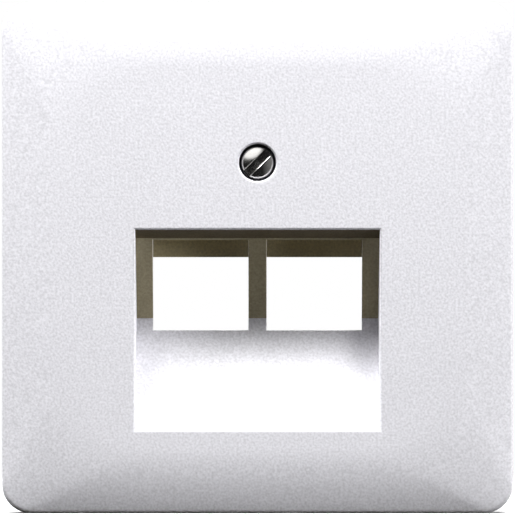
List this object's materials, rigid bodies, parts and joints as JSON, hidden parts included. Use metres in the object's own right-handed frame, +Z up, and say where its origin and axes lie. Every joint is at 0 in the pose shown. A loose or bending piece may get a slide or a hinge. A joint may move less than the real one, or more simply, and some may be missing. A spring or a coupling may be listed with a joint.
{
  "type": "data outlet centre plate",
  "caption": "Square wall outlet cover with a rolled-off border, an angled recessed bay with plug windows, a hollow ribbed back and a captive slotted fixing screw.",
  "frame": {"origin": "centre of the square outline, on the plane of the rear rim", "axes": "+Z up as mounted on the wall, +Y into the wall, +X to the right as seen from the front"},
  "size_m": [0.07, 0.0211, 0.07],
  "materials": {
    "plate_plastic": "white moulded plastic, fine satin grain",
    "screw_metal": "nickel plated, bright",
    "retainer_nylon": "natural nylon"
  },
  "bodies": {
    "plate": {"centre_plate": "plate_plastic"},
    "screw": {"fixing_screw": "screw_metal", "screw_retainer": "retainer_nylon"}
  },
  "joints": [
    {"name": "screw_turn", "type": "hinge", "parent": "plate", "child": "screw", "pos_m": [0, -0.009, 0.013], "axis": [0, 1, 0], "continuous": true}
  ]
}
